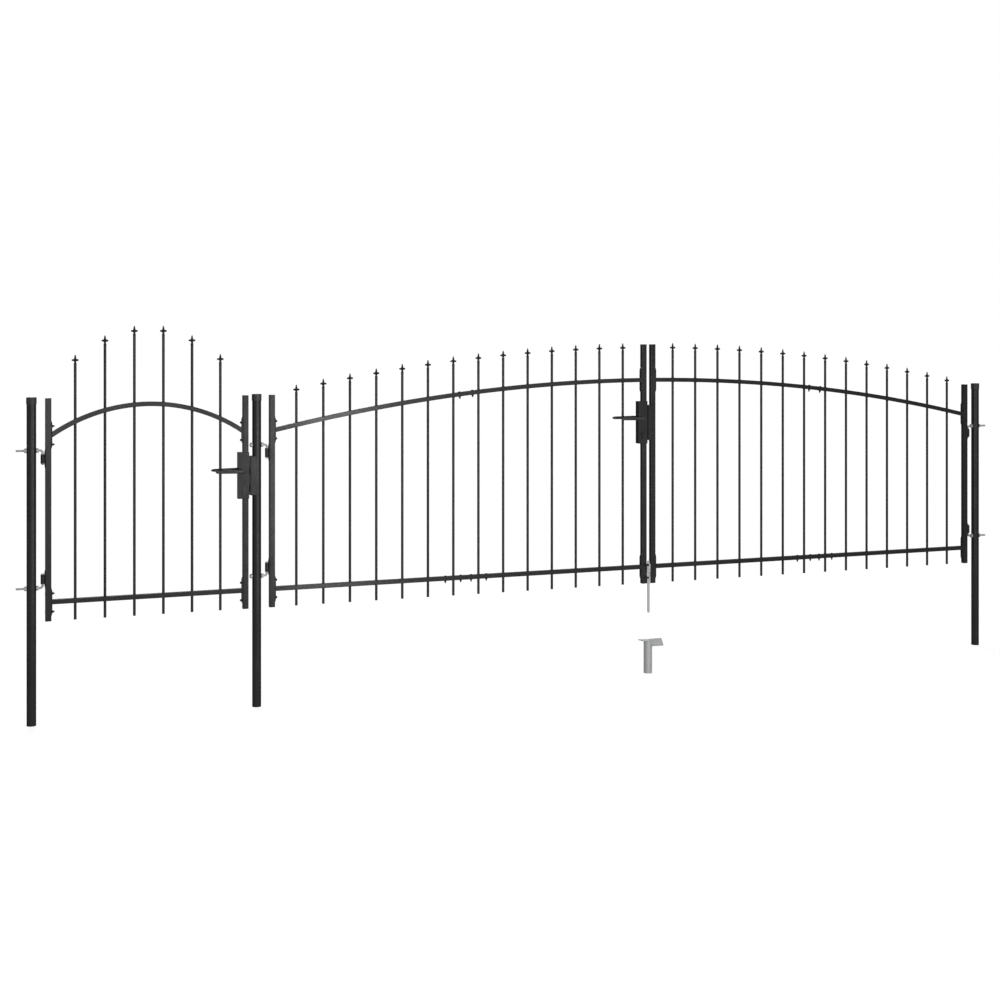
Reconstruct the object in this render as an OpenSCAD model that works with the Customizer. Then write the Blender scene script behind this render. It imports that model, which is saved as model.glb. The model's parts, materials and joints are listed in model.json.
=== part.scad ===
// Driveway gate set in coated steel tube: one single gate and one double gate on three posts.
// Millimetres. X runs along the gates, Y away from the viewer, Z up; the origin is the left post's foot.

/* [Layout] */
// Spacing of the bars
bar_pitch = 125; // [100:1:140]
// Bars in the single gate
single_bars = 6; // [4:1:8]
// Bars in each leaf of the double gate, an even number
leaf_bars = 14; // [8:2:16]
// Stile axis to the nearest bar
bar_inset = 112; // [90:1:130]
// Height of the leaf bottoms above the post feet
leaf_bottom = 440; // [300:5:500]
// Single lock stile axis to the middle post axis
lock_to_post = 51; // [49:1:60]
// Spacing of the two meeting stiles of the double gate
meeting_pitch = 48; // [48:1:60]

/* [Posts] */
// Post outside diameter
post_d = 40; // [38:1:46]
// Post wall
post_wall = 2; // [1.5:0.5:4]
// Post height with its cap
post_height = 1396; // [1300:4:1500]
// Post cap outside diameter
cap_d = 43.5; // [42:0.5:50]
// Length of the cap skirt
cap_skirt = 30; // [15:1:45]
// Thickness of a cap's top
cap_t = 2; // [1.5:0.5:3]
// Rounding of a cap's rim
cap_round = 2.5; // [1:0.5:4]
// Thickness of a post's closed foot
foot_t = 4; // [2:1:8]

/* [Stiles] */
// Side of the square stile tube
stile_w = 25; // [25:1:30]
// Stile wall
stile_wall = 1.5; // [1:0.5:3]
// Corner radius of the stile tube
stile_corner = 2.5; // [2:0.5:4]
// Top of the hinge stiles and the single lock stile
stile_top = 1391; // [1300:1:1450]
// Top of the two meeting stiles
meeting_top = 1611; // [1560:1:1700]
// Plate thickness of a stile end cap
end_cap_t = 2.5; // [1:0.5:5]
// Depth of an end cap's plug in the tube
plug_h = 14; // [8:1:20]

/* [Rails and bars] */
// Side of the square rail tube
rail_w = 20; // [18:1:22]
// Rail wall
rail_wall = 1.5; // [1:0.5:3]
// Bar diameter
bar_d = 12; // [10:1:14]
// Axis height of the bottom rails
bottom_rail_z = 521.5; // [500:0.5:560]
// Crown height of the single gate's arched rail
single_crown = 1360; // [1300:1:1400]
// Axis radius of the single gate's arched rail
single_arch_r = 730; // [650:5:900]
// Crown height of the double gate's arched rails
double_crown = 1436.5; // [1400:0.5:1480]
// Axis radius of the double gate's arched rails
double_arch_r = 8610; // [7000:10:10000]
// Gap between two half panels at the splice
splice_gap = 1; // [1:0.5:3]
// Half length of a splice sleeve
sleeve_half = 55; // [40:1:56]

/* [Rail brackets] */
// Height of a bracket at the stile
bracket_h = 122; // [100:1:140]
// Height of a bracket at its raised face
bracket_face_h = 94; // [90:1:100]
// Bracket thickness
bracket_t = 4; // [3:0.5:6]
// Bracket width across the stile
bracket_w = 22; // [18:1:24]

/* [Spear tips] */
// Highest point of the single gate's tip curve
single_tip_top = 1706; // [1680:1:1720]
// Fall of the single gate's tip curve, as the square of the distance over this
single_tip_fall = 750; // [600:10:900]
// Tip height above the arched rail on the double gate
double_tip_rise = 181.5; // [150:0.5:200]
// Height of one spear tip
tip_h = 46; // [44:1:54]
// Spread of a tip across its lobes
tip_w = 30; // [28:1:34]
// Radius of a lobe at its root
lobe_root_r = 5; // [4.5:0.1:5.2]
// Radius of a lobe's round end
lobe_r = 4.2; // [2.5:0.1:4.4]
// Height of the lobes on a tip
lobe_z = 23; // [21:1:25]
// Radius of the collar at the foot of a tip
collar_r = 6.3; // [6.2:0.1:7.5]
// Radius of a tip's waist below its lobes
waist_r = 4.4; // [3.8:0.1:5]
// Radius of a tip's body between its lobes
body_r = 8.2; // [8:0.1:8.5]
// Radius of the point where it leaves the lobes
point_r = 4.7; // [3.8:0.1:5]

/* [Hinges] */
// Post axis to hinge axis
hinge_from_post = 46; // [44:1:52]
// Hinge axis to hinge stile axis
hinge_to_stile = 23; // [23:0.5:26]
// Axis height of the upper hinge bolts
upper_bolt_z = 1169; // [1100:1:1185]
// Axis height of the lower hinge bolts
lower_bolt_z = 583; // [582:1:640]
// Hinge bolt diameter
pin_d = 10; // [8:1:11]
// Bend radius of a hinge bolt
bend_r = 11; // [9:1:14]
// Reach of the outer hinge bolts beyond the post axis
bolt_tail = 64; // [50:1:75]
// Reach of the middle post's hinge bolts beyond its axis, short of the single gate
middle_tail = 32; // [31:0.5:32]
// Radial play of a pin in its barrel
pin_play = 0.25; // [0.2:0.05:0.4]
// Barrel outside diameter
barrel_d = 17; // [16:0.5:19]
// Barrel length
barrel_len = 40; // [36:1:46]
// Distance from a bolt axis to the near end of its barrel
barrel_drop = 16.5; // [15:0.5:20]
// Reach of a pin beyond its barrel
pin_end = 6; // [4:1:10]
// Height of a barrel's plate at the stile
hinge_plate_h = 84; // [70:1:90]
// Height of a barrel's plate at its raised face
hinge_plate_face = 52; // [50:1:60]
// Thickness of a barrel's plate
hinge_plate_t = 3; // [2:0.5:4]
// Width of a barrel's plate across the stile
hinge_plate_w = 20; // [16:1:22]
// Nut size across the flats
nut_af = 17; // [15:1:18]
// Nut thickness
nut_t = 8; // [6:1:9]
// Washer diameter
washer_d = 22; // [20:1:26]
// Washer thickness
washer_t = 2; // [1:0.5:3]

/* [Locks] */
// Lock case height
case_h = 207; // [190:1:220]
// Lock case depth
case_depth = 34; // [32:1:40]
// Case reach from the stile axis, inner side
case_in = 34; // [30:1:40]
// Case reach from the stile axis, outer side
case_out = 14; // [13.5:0.5:18]
// Case sheet thickness
case_t = 2; // [1.5:0.5:3]
// Reach of the drawn-back latch and dead bolt beyond the case
latch_t = 1; // [0.5:0.5:1]
// Width of the latch and the dead bolt
latch_w = 12; // [10:1:14]
// Height of the latch and the dead bolt
latch_h = 26; // [20:1:28]
// Axis of the dead bolt below the cylinder axis
dead_bolt_drop = 4; // [0:1:6]
// Stile window below the cylinder axis
window_below = 28; // [26:1:36]
// Stile window above the spindle axis
window_above = 14; // [10:1:20]
// Bottom of the single gate's lock case
single_case_z = 931; // [850:1:960]
// Bottom of the double gate's lock case
double_case_z = 1126; // [1000:1:1150]
// Spindle height above the case bottom
spindle_up = 121.5; // [118:0.5:130]
// Cylinder axis below the spindle
cylinder_drop = 72; // [70:1:92]
// Spindle and cylinder offset from the stile axis
spindle_in = 11; // [9:0.5:13]
// Diameter of the cylinder's round part
cylinder_d = 17; // [16:0.5:18]
// Width of the cylinder's lower part
cylinder_w = 10; // [9:0.5:11]
// Depth of the cylinder below its axis
cylinder_low = 25; // [20:1:26]
// Reach of the cylinder beyond the case
cylinder_out = 4; // [2:0.5:6]
// Width of a keyway
key_w = 2; // [1:0.5:3]
// Height of a keyway
key_h = 8; // [6:1:10]
// Depth of a keyway
key_t = 3; // [1:0.5:4]
// Spindle diameter
spindle_d = 8; // [6:1:9]
// Case hole around the spindle
spindle_hole = 11; // [10:1:14]
// Diameter of a lever's rose
rose_d = 19; // [17:1:22]
// Depth of a lever's rose
rose_t = 9; // [4:1:10]
// Gap between a rose and the case
rose_gap = 1; // [0.5:0.5:2]
// Lever length from the spindle axis
lever_len = 132; // [100:1:140]
// Lever grip thickness
grip_d = 13; // [11:0.5:15]
// Lever axis distance from the gate plane
lever_y = 54; // [45:1:60]
// Gap between a lock case and its keep
keep_gap = 6; // [6:0.5:8]
// Keep sheet thickness
keep_t = 2.5; // [2:0.5:4]
// Width of a keep's slots
slot_w = 16; // [14:1:18]
// Height of a keep's slots
slot_h = 32; // [30:1:36]
// Middle of a keep below the middle of its lock case
keep_low = 2; // [0:1:6]
// Height of the single gate's keep
single_keep_h = 174; // [160:1:185]
// Height of the double gate's keep
double_keep_h = 172; // [160:1:185]
// Inset of the single gate's keep from the post's side
keep_tuck = 1; // [0.5:0.5:2]
// End of the single gate's keep before the post axis
single_keep_end = 3; // [2:0.5:6]
// End of the double gate's keep before the stile axis
double_keep_end = 7; // [5:0.5:8]

/* [Drop bolt and ground stop] */
// Drop rod diameter
rod_d = 12; // [10:0.5:12]
// Height of the rod's lower end
rod_bottom = 297; // [260:1:320]
// Width of the guide block beside the stile
guide_w = 17.5; // [16.5:0.5:18]
// Height of the guide block
guide_h = 96; // [80:1:110]
// Depth of the guide block
guide_depth = 18; // [17:1:20]
// Wall of the guide block outside the rod
guide_wall = 0.5; // [0.5:0.1:1]
// Radial play of the rod in its guide
rod_play = 0.3; // [0.2:0.1:0.5]
// Height of the guide's window above its lower end
window_z = 34; // [26:1:44]
// Height of the guide's window
window_h = 22; // [14:1:28]
// Depth of the guide's window
window_t = 3; // [1:0.5:3]
// Height of the lower lug above the guide's lower end
lower_lug_z = 24; // [15:1:24]
// Height of the upper lug above the guide's lower end
upper_lug_z = 86; // [60:1:87]
// Height of a lug
lug_h = 9; // [6:1:9]
// Thickness of a lug in front of the guide
lug_t = 3; // [2:0.5:4]
// Reach of a lug over the stile
lug_in = 12; // [8:1:16]
// Reach of a lug over the guide
lug_out = 8; // [6:1:12]
// Reach of the rod above its guide
rod_over = 14; // [8:1:20]
// Chamfer at the rod's lower end
rod_chamfer = 2; // [1:0.5:3]
// Rod axis in front of the gate plane
rod_front = 8; // [6:0.5:10]
// Ground stop stem diameter
stop_d = 42; // [38:1:46]
// Ground stop stem height
stop_h = 159; // [140:1:170]
// Ground stop wall
stop_wall = 3; // [2:0.5:4]
// Length of the tilted wing from the stem axis
wing_len = 80; // [60:1:90]
// Width of both wings
wing_w = 40; // [36:1:46]
// Tilt of the longer wing, and of the stem's cut under it
wing_tilt = 52; // [40:1:55]
// Length of the flat wing from the stem axis, at its back
flat_len = 44; // [36:1:60]
// Length of the flat wing from the stem axis, at its front
flat_front = 32; // [24:1:60]
// Wing thickness
wing_t = 4; // [3:0.5:6]
// Thickness of the stem's closed foot
stop_foot_t = 4; // [2:1:8]

/* [Hidden] */
$fn = 64;
black = [0.09, 0.09, 0.095];
zinc = [0.66, 0.67, 0.68];
nickel = [0.80, 0.80, 0.78];
half = stile_w / 2;
single_hinge_x = hinge_from_post;
single_stile_x = single_hinge_x + hinge_to_stile;
single_first = single_stile_x + bar_inset;
single_lock_x = single_first + (single_bars - 1) * bar_pitch + bar_inset;
single_mid = (single_stile_x + single_lock_x) / 2;
middle_x = single_lock_x + lock_to_post;
left_hinge_x = middle_x + hinge_from_post;
left_stile_x = left_hinge_x + hinge_to_stile;
left_first = left_stile_x + bar_inset;
left_lock_x = left_first + (leaf_bars - 1) * bar_pitch + bar_inset;
left_mid = (left_stile_x + left_lock_x) / 2;
double_mid = left_lock_x + meeting_pitch / 2;
right_lock_x = left_lock_x + meeting_pitch;
right_x = 2 * double_mid - middle_x;
single_bars_x = [for (i = [0 : single_bars - 1]) single_first + i * bar_pitch];
outer_bars_x = [for (i = [0 : leaf_bars / 2 - 1]) left_first + i * bar_pitch];
inner_bars_x = [for (i = [leaf_bars / 2 : leaf_bars - 1]) left_first + i * bar_pitch];
rod_x = left_lock_x + half + guide_w - rod_d / 2 - rod_play - guide_wall;
latch_heights = [spindle_up, spindle_up - cylinder_drop - dead_bolt_drop];

// Heights of the rail arcs and of the tip curves
function arc_z(x, mid, crown, r) = crown - r + sqrt(r * r - (x - mid) * (x - mid));
function single_tip_z(x) = single_tip_top - (x - single_mid) * (x - single_mid) / single_tip_fall;
function double_tip_z(x) = arc_z(x, double_mid, double_crown, double_arch_r) + double_tip_rise;

// Outline of a square tube with round corners
function tube_outline(w, r) = [for (q = [0 : 3]) for (i = [0 : 5])
    let (a = 90 * q + 18 * i, sx = q == 0 || q == 3 ? 1 : -1, sy = q < 2 ? 1 : -1)
    [sx * (w / 2 - r) + r * cos(a), sy * (w / 2 - r) + r * sin(a)]];

// Reflection of a left-leaf piece into the right leaf
module right_side() {
    translate([2 * double_mid, 0, 0]) mirror([1, 0, 0]) children();
}

// A round post with a closed foot and cross holes for its hinge bolts
module post(x, holes) {
    translate([x, 0, 0]) difference() {
        cylinder(h = post_height - cap_t, d = post_d);
        translate([0, 0, foot_t]) cylinder(h = post_height, d = post_d - 2 * post_wall);
        for (z = holes) translate([-post_d, 0, z]) rotate([0, 90, 0]) cylinder(h = 2 * post_d, d = pin_d);
    }
}

// A slip-over cap with a rounded rim
module post_cap(x) {
    r = cap_d / 2;
    rim = [for (a = [0 : 30 : 90]) [r - cap_round * (1 - sin(a)), -cap_round * (1 - cos(a))]];
    skirt = [[r, -cap_skirt], [post_d / 2, -cap_skirt], [post_d / 2, -cap_t], [0, -cap_t]];
    translate([x, 0, post_height]) rotate_extrude() polygon(concat([[0, 0]], rim, skirt));
}

// A bent hinge bolt along +X; way is -1 for a pin that points down and 1 for one that points up
module hinge_bolt(x, z, way, tail) {
    run = hinge_from_post - bend_r;
    pin = barrel_drop + barrel_len + pin_end - bend_r;
    translate([x, 0, z]) mirror([0, 0, way < 0 ? 1 : 0]) {
        translate([-tail, 0, 0]) rotate([0, 90, 0]) cylinder(h = tail + run, d = pin_d);
        translate([run, 0, bend_r]) rotate([90, 0, 0]) rotate([0, 0, -90])
            rotate_extrude(angle = 90) translate([bend_r, 0]) circle(d = pin_d);
        translate([hinge_from_post, 0, bend_r]) cylinder(h = pin, d = pin_d);
    }
}

// The two bolts of one post
module hinge_bolts(x, tail) {
    hinge_bolt(x, upper_bolt_z, -1, tail);
    hinge_bolt(x, lower_bolt_z, 1, tail);
}

// A nut and washer on each side of a post
module nut_pair(x, z) {
    for (side = [-1, 1]) translate([x, 0, z]) rotate([0, 90 * side, 0]) difference() {
        union() {
            translate([0, 0, post_d / 2]) cylinder(h = washer_t, d = washer_d);
            translate([0, 0, post_d / 2 + washer_t]) linear_extrude(nut_t)
                polygon([for (i = [0 : 5]) nut_af / sqrt(3) * [cos(60 * i), sin(60 * i)]]);
        }
        cylinder(h = post_d, d = pin_d);
    }
}

// A square stile tube between its end caps, with a window for a lock where one is fitted
module stile(x, top, case_z = 0) {
    translate([x, 0, 0]) difference() {
        translate([0, 0, leaf_bottom + end_cap_t])
            linear_extrude(top - leaf_bottom - 2 * end_cap_t) difference() {
                polygon(tube_outline(stile_w, stile_corner));
                polygon(tube_outline(stile_w - 2 * stile_wall, stile_corner - stile_wall));
            }
        if (case_z > 0) translate([-stile_w, -stile_w, case_z + spindle_up - cylinder_drop - window_below])
            cube([stile_w, 2 * stile_w, cylinder_drop + window_below + window_above]);
    }
}

// End caps with plugs for one stile
module stile_cap_pair(x, top) {
    for (end = [0, 1]) translate([x, 0, end == 0 ? leaf_bottom : top]) mirror([0, 0, end]) {
        linear_extrude(end_cap_t) polygon(tube_outline(stile_w, stile_corner));
        translate([0, 0, end_cap_t]) linear_extrude(plug_h)
            polygon(tube_outline(stile_w - 2 * stile_wall, stile_corner - stile_wall));
    }
}

// A square bar bent to an arc in the gate plane, between two X limits
module arc_bar(mid, crown, r, w, x0, x1) {
    reach = 2 + 2 * asin(max(abs(x0 - mid), abs(x1 - mid)) / r);
    intersection() {
        translate([mid, 0, crown - r]) rotate([90, 0, 0]) rotate([0, 0, 90 - reach / 2])
            rotate_extrude(angle = reach, $fn = 720) translate([r - w / 2, -w / 2]) square(w);
        translate([x0, -w, crown - r]) cube([x1 - x0, 2 * w, r + 2 * w]);
    }
}

// A straight square bar along X at the bottom rail
module level_bar(w, x0, x1) {
    translate([x0, -w / 2, bottom_rail_z - w / 2]) cube([x1 - x0, w, w]);
}

// A raised bracket on a stile face; way is 1 where it rises along +X
module bracket(x, z, way) {
    translate([x, bracket_w / 2, z]) rotate([90, 0, 0]) linear_extrude(bracket_w) polygon([
        [0, -bracket_h / 2], [way * bracket_t, -bracket_face_h / 2],
        [way * bracket_t, bracket_face_h / 2], [0, bracket_h / 2]]);
}

// Both hollow rails between two X limits
module rails(mid, crown, r, x0, x1) {
    bore = rail_w - 2 * rail_wall;
    difference() {
        union() {
            arc_bar(mid, crown, r, rail_w, x0, x1);
            level_bar(rail_w, x0, x1);
        }
        arc_bar(mid, crown, r, bore, x0 - 1, x1 + 1);
        level_bar(bore, x0 - 1, x1 + 1);
    }
}

// One round bar from the leaf bottom to the foot of its tip
module bar(x, tip_z) {
    translate([x, 0, leaf_bottom]) cylinder(h = tip_z - tip_h - leaf_bottom, d = bar_d);
}

// The welded panel of the single gate
module single_panel() {
    x0 = single_stile_x + half;
    x1 = single_lock_x - half;
    end_z = arc_z(x0 + bracket_t, single_mid, single_crown, single_arch_r);
    rails(single_mid, single_crown, single_arch_r, x0 + bracket_t, x1 - bracket_t);
    for (z = [bottom_rail_z, end_z]) {
        bracket(x0, z, 1);
        bracket(x1, z, -1);
    }
    for (x = single_bars_x) bar(x, single_tip_z(x));
}

// The welded half panel next to the hinge stile of a double gate leaf
module outer_panel() {
    x0 = left_stile_x + half;
    end_z = arc_z(x0 + bracket_t, double_mid, double_crown, double_arch_r);
    rails(double_mid, double_crown, double_arch_r, x0 + bracket_t, left_mid - splice_gap / 2);
    for (z = [bottom_rail_z, end_z]) bracket(x0, z, 1);
    for (x = outer_bars_x) bar(x, double_tip_z(x));
}

// The welded half panel next to the meeting stile of a double gate leaf
module inner_panel() {
    x1 = left_lock_x - half;
    end_z = arc_z(x1 - bracket_t, double_mid, double_crown, double_arch_r);
    rails(double_mid, double_crown, double_arch_r, left_mid + splice_gap / 2, x1 - bracket_t);
    for (z = [bottom_rail_z, end_z]) bracket(x1, z, -1);
    for (x = inner_bars_x) bar(x, double_tip_z(x));
}

// Sleeves inside the rails that join the two half panels
module splices() {
    w = rail_w - 2 * rail_wall;
    arc_bar(double_mid, double_crown, double_arch_r, w, left_mid - sleeve_half, left_mid + sleeve_half);
    level_bar(w, left_mid - sleeve_half, left_mid + sleeve_half);
}

// A spear tip with four lobes below the point
module spear_tip(x, z) {
    arm = tip_w / 2 - lobe_r;
    root = 1.04 * lobe_root_r;
    foot = [[0, 0], [bar_d / 2, 0], [collar_r, 0.1 * lobe_z], [collar_r, 0.25 * lobe_z]];
    waist = [[bar_d / 2, 0.4 * lobe_z], [waist_r, 0.55 * lobe_z], [waist_r, 0.62 * lobe_z]];
    belly = [[root + 0.4, lobe_z - 0.66 * body_r], [body_r, lobe_z - 0.2 * body_r],
             [body_r, lobe_z + 0.2 * body_r], [root + 0.4, lobe_z + 0.66 * body_r]];
    point = [[point_r, lobe_z + body_r], [0.8 * point_r, tip_h - 2 * point_r],
             [0.5 * point_r, tip_h - 0.4 * point_r], [0, tip_h]];
    translate([x, 0, z - tip_h]) {
        rotate_extrude() polygon(concat(foot, waist, belly, point));
        for (a = [0 : 90 : 270]) rotate([0, 0, a]) {
            translate([root, 0, lobe_z]) rotate([0, 90, 0])
                cylinder(h = arm - root, r1 = lobe_root_r, r2 = lobe_r);
            translate([arm, 0, lobe_z]) sphere(r = lobe_r);
        }
    }
}

// A hinge barrel welded to a raised plate on a stile's outer face
module barrel(x, bolt_z, way) {
    z = bolt_z + way * (barrel_drop + barrel_len / 2);
    difference() {
        union() {
            translate([x, 0, z - barrel_len / 2]) cylinder(h = barrel_len, d = barrel_d);
            translate([x + hinge_to_stile - half, hinge_plate_w / 2, z]) rotate([90, 0, 0])
                linear_extrude(hinge_plate_w) polygon([
                    [0, -hinge_plate_h / 2], [-hinge_plate_t, -hinge_plate_face / 2],
                    [-hinge_plate_t, hinge_plate_face / 2], [0, hinge_plate_h / 2]]);
        }
        translate([x, 0, z - barrel_len]) cylinder(h = 2 * barrel_len, d = pin_d + 2 * pin_play);
    }
}

// Outline of a profile cylinder, round above and narrow below
module cylinder_outline() {
    circle(d = cylinder_d);
    translate([-cylinder_w / 2, -cylinder_low]) square([cylinder_w, cylinder_low]);
}

// A lock case of folded sheet around its stile, with its latch and dead bolt drawn back
module lock_case(x, z) {
    w = case_in + case_out;
    translate([x, 0, z]) for (c = latch_heights) translate([case_out, -latch_w / 2, c - latch_h / 2])
        cube([latch_t, latch_w, latch_h]);
    translate([x, 0, z]) difference() {
        translate([-case_in, -case_depth / 2, 0]) cube([w, case_depth, case_h]);
        translate([case_t - case_in, case_t - case_depth / 2, case_t])
            cube([w - 2 * case_t, case_depth - 2 * case_t, case_h - 2 * case_t]);
        translate([0, 0, -1]) linear_extrude(case_h + 2) polygon(tube_outline(stile_w, stile_corner));
        translate([-spindle_in, case_depth, spindle_up]) rotate([90, 0, 0])
            cylinder(h = 2 * case_depth, d = spindle_hole);
        translate([-spindle_in, case_depth, spindle_up - cylinder_drop]) rotate([90, 0, 0])
            linear_extrude(2 * case_depth) cylinder_outline();
    }
}

// A profile cylinder with keyways, through a lock case
module lock_cylinder(x, z) {
    reach = case_depth / 2 + cylinder_out;
    translate([x - spindle_in, 0, z + spindle_up - cylinder_drop]) rotate([90, 0, 0]) difference() {
        translate([0, 0, -reach]) linear_extrude(2 * reach) cylinder_outline();
        for (side = [-1, 1]) translate([-key_w / 2, -key_h / 2, side * reach - key_t])
            cube([key_w, key_h, 2 * key_t]);
    }
}

// Front and back levers on one spindle
module lever(x, z) {
    translate([x - spindle_in, 0, z + spindle_up]) {
        rotate([90, 0, 0]) cylinder(h = 2 * lever_y, d = spindle_d, center = true);
        for (side = [-1, 1]) {
            translate([0, side * (case_depth / 2 + rose_gap), 0]) rotate([-90 * side, 0, 0]) {
                cylinder(h = rose_t, d = rose_d);
                cylinder(h = lever_y - case_depth / 2 - rose_gap, d = grip_d);
            }
            translate([0, side * lever_y, 0]) sphere(d = grip_d);
            translate([0, side * lever_y, 0]) rotate([0, -90, 0])
                cylinder(h = lever_len - grip_d / 2, d = grip_d);
            translate([grip_d / 2 - lever_len, side * lever_y, 0]) sphere(d = grip_d);
        }
    }
}

// A folded channel keep with slots for the latch and the dead bolt; inner is half its inside depth
module keep(x, z, h, inner, reach, case_z) {
    outer = inner + keep_t;
    translate([x, 0, 0]) difference() {
        translate([0, -outer, z]) cube([reach, 2 * outer, h]);
        translate([keep_t, -inner, z - 1]) cube([reach, 2 * inner, h + 2]);
        for (c = latch_heights) translate([-1, -slot_w / 2, case_z + c - slot_h / 2])
            cube([keep_t + 2, slot_w, slot_h]);
    }
}

// The single gate's keep, welded to the middle post
module single_keep() {
    x = single_lock_x + case_out + keep_gap;
    z = single_case_z + (case_h - single_keep_h) / 2 - keep_low;
    difference() {
        keep(x, z, single_keep_h, post_d / 2 - keep_tuck, middle_x - single_keep_end - x, single_case_z);
        translate([middle_x, 0, z - 1]) cylinder(h = single_keep_h + 2, d = post_d);
    }
}

// The double gate's keep, welded to the right leaf's meeting stile
module double_keep() {
    x = left_lock_x + case_out + keep_gap;
    z = double_case_z + (case_h - double_keep_h) / 2 - keep_low;
    keep(x, z, double_keep_h, half, right_lock_x - double_keep_end - x, double_case_z);
}

// The guide block of the drop bolt, beside the left leaf's meeting stile
module bolt_guide() {
    x = left_lock_x + half;
    difference() {
        translate([x, -rod_front - guide_depth / 2, leaf_bottom]) cube([guide_w, guide_depth, guide_h]);
        translate([rod_x, -rod_front, leaf_bottom - 1]) cylinder(h = guide_h + 2, d = rod_d + 2 * rod_play);
        translate([x - 1, -rod_front - guide_depth / 2 - 1, leaf_bottom + window_z])
            cube([guide_w + 2, window_t + 1, window_h]);
    }
}

// Two lugs that hold the guide block to the stile's front face
module guide_lugs() {
    x = left_lock_x + half;
    guide_y = -rod_front - guide_depth / 2;
    for (z = [leaf_bottom + lower_lug_z, leaf_bottom + upper_lug_z]) difference() {
        translate([x - lug_in, guide_y - lug_t, z]) cube([lug_in + lug_out, lug_t - guide_y - half, lug_h]);
        translate([x, guide_y, z - 1]) cube([guide_w, guide_depth, lug_h + 2]);
    }
}

// The sliding drop rod with a chamfered lower end
module drop_rod() {
    translate([rod_x, -rod_front, rod_bottom]) {
        translate([0, 0, rod_chamfer])
            cylinder(h = leaf_bottom + guide_h + rod_over - rod_bottom - rod_chamfer, d = rod_d);
        cylinder(h = rod_chamfer, d1 = rod_d - 1.5 * rod_chamfer, d2 = rod_d);
    }
}

// The ground stop: a stem tube, cut on a slant, under a flat wing and a longer tilted one
module stop_post() {
    top = stop_h + wing_t;
    drop = wing_w * sin(wing_tilt) / 2;
    translate([double_mid, 0, 0]) {
        difference() {
            cylinder(h = stop_h, d = stop_d);
            translate([0, 0, stop_foot_t]) cylinder(h = stop_h, d = stop_d - 2 * stop_wall);
            translate([0, -stop_d, stop_h]) rotate([0, wing_tilt, 0]) cube([2 * stop_d, 2 * stop_d, stop_d]);
        }
        translate([0, 0, stop_h]) linear_extrude(wing_t) polygon([
            [-flat_len, wing_w / 2], [0, wing_w / 2], [0, -wing_w / 2], [-flat_front, -wing_w / 2]]);
        translate([-wing_t, 0, top - drop]) rotate([wing_tilt, 0, 0]) translate([0, -wing_w / 2, -wing_t])
            cube([wing_len + wing_t, wing_w, wing_t]);
    }
}

module left_post() { color(black) post(0, [upper_bolt_z, lower_bolt_z]); }
module middle_post() { color(black) post(middle_x, [upper_bolt_z, lower_bolt_z]); }
module right_post() { color(black) post(right_x, [upper_bolt_z, lower_bolt_z]); }
module post_caps() { color(black) for (x = [0, middle_x, right_x]) post_cap(x); }
module left_post_hinge_bolts() { color(zinc) hinge_bolts(0, bolt_tail); }
module middle_post_hinge_bolts() { color(zinc) hinge_bolts(middle_x, middle_tail); }
module right_post_hinge_bolts() { color(zinc) right_side() hinge_bolts(middle_x, bolt_tail); }
module hinge_nuts() {
    color(zinc) for (x = [0, middle_x, right_x], z = [upper_bolt_z, lower_bolt_z]) nut_pair(x, z);
}
module single_gate_keep() { color(black) single_keep(); }
module ground_stop() { color(zinc) stop_post(); }

module single_gate_hinge_stile() { color(black) stile(single_stile_x, stile_top); }
module single_gate_lock_stile() { color(black) stile(single_lock_x, stile_top, single_case_z); }
module single_gate_panel() { color(black) single_panel(); }
module single_gate_spear_tips() { color(black) for (x = single_bars_x) spear_tip(x, single_tip_z(x)); }
module single_gate_hinge_barrels() {
    color(black) {
        barrel(single_hinge_x, upper_bolt_z, -1);
        barrel(single_hinge_x, lower_bolt_z, 1);
    }
}
module single_gate_stile_caps() {
    color(black) for (x = [single_stile_x, single_lock_x]) stile_cap_pair(x, stile_top);
}
module single_gate_lock_case() { color(black) lock_case(single_lock_x, single_case_z); }
module single_gate_lock_cylinder() { color(nickel) lock_cylinder(single_lock_x, single_case_z); }
module single_gate_lever() { color(black) lever(single_lock_x, single_case_z); }

module left_leaf_hinge_stile() { color(black) stile(left_stile_x, stile_top); }
module left_leaf_lock_stile() { color(black) stile(left_lock_x, meeting_top, double_case_z); }
module left_leaf_outer_panel() { color(black) outer_panel(); }
module left_leaf_inner_panel() { color(black) inner_panel(); }
module left_leaf_splices() { color(black) splices(); }
module left_leaf_spear_tips() {
    color(black) for (x = concat(outer_bars_x, inner_bars_x)) spear_tip(x, double_tip_z(x));
}
module left_leaf_hinge_barrels() {
    color(black) {
        barrel(left_hinge_x, upper_bolt_z, -1);
        barrel(left_hinge_x, lower_bolt_z, 1);
    }
}
module left_leaf_stile_caps() {
    color(black) {
        stile_cap_pair(left_stile_x, stile_top);
        stile_cap_pair(left_lock_x, meeting_top);
    }
}
module left_leaf_lock_case() { color(black) lock_case(left_lock_x, double_case_z); }
module left_leaf_lock_cylinder() { color(nickel) lock_cylinder(left_lock_x, double_case_z); }
module left_leaf_lever() { color(black) lever(left_lock_x, double_case_z); }
module left_leaf_bolt_guide() { color(zinc) bolt_guide(); }
module left_leaf_guide_lugs() { color(black) guide_lugs(); }
module drop_bolt() { color(zinc) drop_rod(); }

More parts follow.
